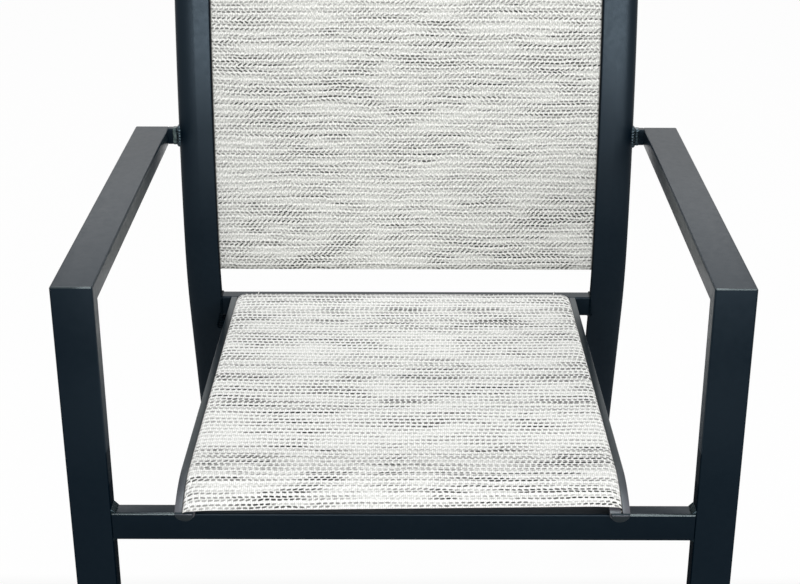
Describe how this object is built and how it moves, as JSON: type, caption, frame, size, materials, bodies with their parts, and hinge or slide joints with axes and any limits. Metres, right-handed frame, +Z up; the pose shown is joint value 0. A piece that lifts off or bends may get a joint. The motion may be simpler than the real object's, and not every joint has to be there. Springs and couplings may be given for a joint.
{
  "type": "sling patio chair",
  "caption": "Outdoor armchair: a welded dark tube frame with flat arms and splayed rear legs, holding a woven seat sling and a curved back sling.",
  "frame": {"origin": "on the floor, under the middle of the bounding box of the whole chair", "axes": "+Z up, +X to the right as seen from in front of the chair, the chair faces -Y, so +Y points to its back"},
  "size_m": [0.648, 0.628, 0.9142],
  "materials": {
    "powder_coat": "satin dark grey powder coat",
    "plastic": "matte",
    "sling": "matte woven mesh, off-white with grey",
    "spline": "matte"
  },
  "bodies": {
    "root": {"left_arm": "powder_coat", "left_front_leg": "powder_coat", "left_arm_stub": "powder_coat", "left_back_upright": "powder_coat", "left_seat_rail": "powder_coat", "left_arm_end_plug": "plastic", "left_upright_top_cap": "plastic", "left_rail_front_cap": "plastic", "left_front_foot": "plastic", "left_rear_foot": "plastic", "left_seat_spline": "spline", "left_back_spline": "spline", "right_arm": "powder_coat", "right_front_leg": "powder_coat", "right_arm_stub": "powder_coat", "right_back_upright": "powder_coat", "right_seat_rail": "powder_coat", "right_arm_end_plug": "plastic", "right_upright_top_cap": "plastic", "right_rail_front_cap": "plastic", "right_front_foot": "plastic", "right_rear_foot": "plastic", "right_seat_spline": "spline", "right_back_spline": "spline", "front_crossbar": "powder_coat", "rear_crossbar": "powder_coat", "top_crossbar": "powder_coat", "seat_sling": "sling", "back_sling": "sling"}
  },
  "joints": []
}
